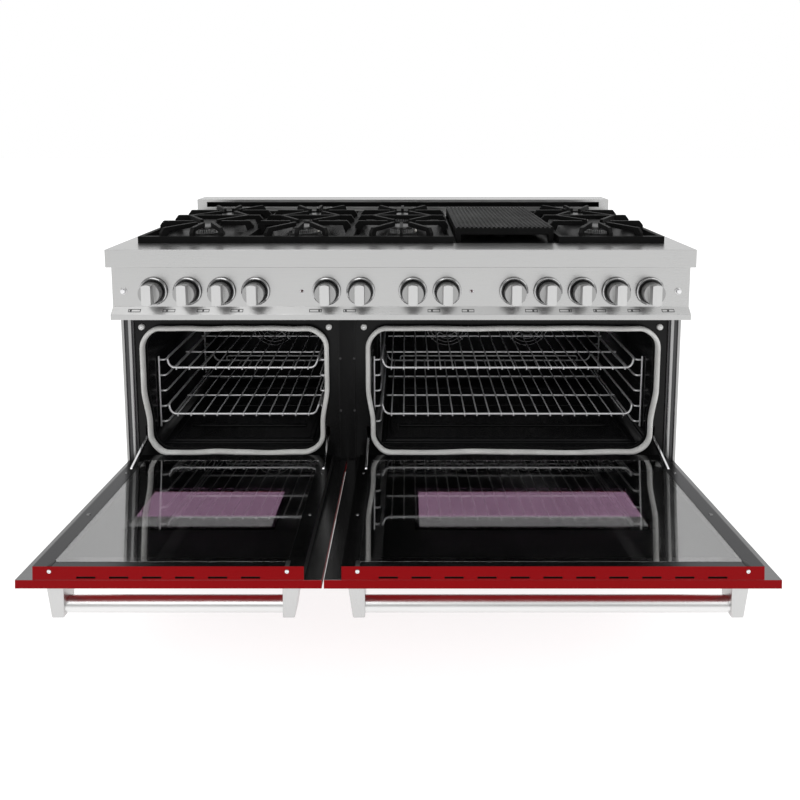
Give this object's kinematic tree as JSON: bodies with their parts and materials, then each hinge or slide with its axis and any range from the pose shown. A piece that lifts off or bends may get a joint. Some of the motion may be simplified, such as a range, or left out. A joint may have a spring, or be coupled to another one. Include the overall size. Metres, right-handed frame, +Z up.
{
  "type": "gas range",
  "caption": "Freestanding double-oven gas range with drop-down doors, round burners under cast grates, a ridged griddle and a low backguard.",
  "frame": {"origin": "on the floor, under the middle of the box with the oven doors open", "axes": "+X to the right as the cook sees it, +Y to the back wall, +Z up"},
  "size_m": [1.524, 1.0938, 0.962],
  "materials": {
    "stainless": "horizontally brushed",
    "galvanised": "dull",
    "black_enamel": "glossy",
    "cast_iron": "matt enamel",
    "seal_braid": "woven glass fibre braid",
    "chrome_wire": "polished",
    "red_paint": "satin gloss",
    "window_glass": "tinted",
    "inner_glass": "dark, reflective",
    "satin_steel": "satin",
    "chrome": "polished"
  },
  "bodies": {
    "cabinet": {"left_side_panel": "stainless", "right_side_panel": "stainless", "base_pan": "galvanised", "back_panel": "galvanised", "toe_kick": "stainless", "leg_front_left": "stainless", "leg_front_right": "stainless", "leg_rear_left": "stainless", "leg_rear_right": "stainless", "cooktop_surround": "stainless", "burner_deck": "black_enamel", "backguard": "stainless", "control_panel": "stainless", "oven_face": "black_enamel", "grate_1": "cast_iron", "grate_2": "cast_iron", "grate_3": "cast_iron", "grate_4": "cast_iron", "griddle": "cast_iron", "left_oven_liner": "black_enamel", "left_oven_gasket": "seal_braid", "left_oven_rack_guide_left": "chrome_wire", "left_oven_rack_guide_right": "chrome_wire", "right_oven_liner": "black_enamel", "right_oven_gasket": "seal_braid", "right_oven_rack_guide_left": "chrome_wire", "right_oven_rack_guide_right": "chrome_wire"},
    "left_door": {"left_door_outer_skin": "red_paint", "left_door_window": "window_glass", "left_door_inner_frame": "red_paint", "left_door_inner_glass": "inner_glass", "left_door_handle": "satin_steel"},
    "left_door_hinge_arm_left": {"left_door_hinge_arm_left": "chrome"},
    "left_door_hinge_arm_right": {"left_door_hinge_arm_right": "chrome"},
    "right_door": {"right_door_outer_skin": "red_paint", "right_door_window": "window_glass", "right_door_inner_frame": "red_paint", "right_door_inner_glass": "inner_glass", "right_door_handle": "satin_steel"},
    "right_door_hinge_arm_left": {"right_door_hinge_arm_left": "chrome"},
    "right_door_hinge_arm_right": {"right_door_hinge_arm_right": "chrome"},
    "burner_knob_1": {"burner_knob_1": "stainless"},
    "burner_knob_2": {"burner_knob_2": "stainless"},
    "burner_knob_3": {"burner_knob_3": "stainless"},
    "burner_knob_4": {"burner_knob_4": "stainless"},
    "oven_knob_1": {"oven_knob_1": "stainless"},
    "oven_knob_2": {"oven_knob_2": "stainless"},
    "oven_knob_3": {"oven_knob_3": "stainless"},
    "oven_knob_4": {"oven_knob_4": "stainless"},
    "burner_knob_5": {"burner_knob_5": "stainless"},
    "burner_knob_6": {"burner_knob_6": "stainless"},
    "burner_knob_7": {"burner_knob_7": "stainless"},
    "burner_knob_8": {"burner_knob_8": "stainless"},
    "burner_knob_9": {"burner_knob_9": "stainless"},
    "left_oven_upper_rack": {"left_oven_upper_rack": "chrome_wire"},
    "left_oven_lower_rack": {"left_oven_lower_rack": "chrome_wire"},
    "right_oven_upper_rack": {"right_oven_upper_rack": "chrome_wire"},
    "right_oven_lower_rack": {"right_oven_lower_rack": "chrome_wire"},
    "left_lamp_button": {"left_lamp_button": "chrome"},
    "right_lamp_button": {"right_lamp_button": "chrome"}
  },
  "joints": [
    {"name": "left_door_hinge", "type": "hinge", "parent": "cabinet", "child": "left_door", "pos_m": [-0.45425, -0.13906, 0.3105], "axis": [1, 0, 0], "range_deg": [-85.8, 0]},
    {"name": "left_door_hinge_arm_left_pivot", "type": "hinge", "parent": "left_door", "child": "left_door_hinge_arm_left", "pos_m": [-0.7058, -0.18447, 0.33389], "axis": [1, 0, 0], "range_deg": [-1, 93.8]},
    {"name": "left_door_hinge_arm_right_pivot", "type": "hinge", "parent": "left_door", "child": "left_door_hinge_arm_right", "pos_m": [-0.2027, -0.18447, 0.33389], "axis": [1, 0, 0], "range_deg": [-1, 93.8]},
    {"name": "right_door_hinge", "type": "hinge", "parent": "cabinet", "child": "right_door", "pos_m": [0.30475, -0.13906, 0.3105], "axis": [1, 0, 0], "range_deg": [-85.8, 0]},
    {"name": "right_door_hinge_arm_left_pivot", "type": "hinge", "parent": "right_door", "child": "right_door_hinge_arm_left", "pos_m": [-0.0908, -0.18447, 0.33389], "axis": [1, 0, 0], "range_deg": [-1, 93.8]},
    {"name": "right_door_hinge_arm_right_pivot", "type": "hinge", "parent": "right_door", "child": "right_door_hinge_arm_right", "pos_m": [0.7003, -0.18447, 0.33389], "axis": [1, 0, 0], "range_deg": [-1, 93.8]},
    {"name": "burner_knob_1_turn", "type": "hinge", "parent": "cabinet", "child": "burner_knob_1", "pos_m": [-0.653, -0.13626, 0.797], "axis": [0, -1, 0], "range_deg": [0, 210]},
    {"name": "burner_knob_2_turn", "type": "hinge", "parent": "cabinet", "child": "burner_knob_2", "pos_m": [-0.56302, -0.13626, 0.797], "axis": [0, -1, 0], "range_deg": [0, 210]},
    {"name": "burner_knob_3_turn", "type": "hinge", "parent": "cabinet", "child": "burner_knob_3", "pos_m": [-0.47304, -0.13626, 0.797], "axis": [0, -1, 0], "range_deg": [0, 210]},
    {"name": "burner_knob_4_turn", "type": "hinge", "parent": "cabinet", "child": "burner_knob_4", "pos_m": [-0.38306, -0.13626, 0.797], "axis": [0, -1, 0], "range_deg": [0, 210]},
    {"name": "oven_knob_1_turn", "type": "hinge", "parent": "cabinet", "child": "oven_knob_1", "pos_m": [-0.1959, -0.13626, 0.797], "axis": [0, -1, 0], "range_deg": [0, 270]},
    {"name": "oven_knob_2_turn", "type": "hinge", "parent": "cabinet", "child": "oven_knob_2", "pos_m": [-0.10593, -0.13626, 0.797], "axis": [0, -1, 0], "range_deg": [0, 270]},
    {"name": "oven_knob_3_turn", "type": "hinge", "parent": "cabinet", "child": "oven_knob_3", "pos_m": [0.03174, -0.13626, 0.797], "axis": [0, -1, 0], "range_deg": [0, 270]},
    {"name": "oven_knob_4_turn", "type": "hinge", "parent": "cabinet", "child": "oven_knob_4", "pos_m": [0.12172, -0.13626, 0.797], "axis": [0, -1, 0], "range_deg": [0, 270]},
    {"name": "burner_knob_5_turn", "type": "hinge", "parent": "cabinet", "child": "burner_knob_5", "pos_m": [0.29808, -0.13626, 0.797], "axis": [0, -1, 0], "range_deg": [0, 210]},
    {"name": "burner_knob_6_turn", "type": "hinge", "parent": "cabinet", "child": "burner_knob_6", "pos_m": [0.38806, -0.13626, 0.797], "axis": [0, -1, 0], "range_deg": [0, 210]},
    {"name": "burner_knob_7_turn", "type": "hinge", "parent": "cabinet", "child": "burner_knob_7", "pos_m": [0.47804, -0.13626, 0.797], "axis": [0, -1, 0], "range_deg": [0, 210]},
    {"name": "burner_knob_8_turn", "type": "hinge", "parent": "cabinet", "child": "burner_knob_8", "pos_m": [0.56802, -0.13626, 0.797], "axis": [0, -1, 0], "range_deg": [0, 210]},
    {"name": "burner_knob_9_turn", "type": "hinge", "parent": "cabinet", "child": "burner_knob_9", "pos_m": [0.658, -0.13626, 0.797], "axis": [0, -1, 0], "range_deg": [0, 210]},
    {"name": "left_oven_upper_rack_slide", "type": "slide", "parent": "cabinet", "child": "left_oven_upper_rack", "axis": [0, -1, 0], "range_m": [0, 0.3]},
    {"name": "left_oven_lower_rack_slide", "type": "slide", "parent": "cabinet", "child": "left_oven_lower_rack", "axis": [0, -1, 0], "range_m": [0, 0.3]},
    {"name": "right_oven_upper_rack_slide", "type": "slide", "parent": "cabinet", "child": "right_oven_upper_rack", "axis": [0, -1, 0], "range_m": [0, 0.3]},
    {"name": "right_oven_lower_rack_slide", "type": "slide", "parent": "cabinet", "child": "right_oven_lower_rack", "axis": [0, -1, 0], "range_m": [0, 0.3]},
    {"name": "left_lamp_button_press", "type": "slide", "parent": "cabinet", "child": "left_lamp_button", "axis": [0, 1, 0], "range_m": [0, 0.003], "stiffness_N_per_m": 400},
    {"name": "right_lamp_button_press", "type": "slide", "parent": "cabinet", "child": "right_lamp_button", "axis": [0, 1, 0], "range_m": [0, 0.003], "stiffness_N_per_m": 400}
  ],
  "couplings": [
    {"joint": "left_door_hinge_arm_left_pivot", "follows": "left_door_hinge", "ratio": -1.0816},
    {"joint": "left_door_hinge_arm_right_pivot", "follows": "left_door_hinge", "ratio": -1.0816},
    {"joint": "right_door_hinge_arm_left_pivot", "follows": "right_door_hinge", "ratio": -1.0816},
    {"joint": "right_door_hinge_arm_right_pivot", "follows": "right_door_hinge", "ratio": -1.0816}
  ]
}
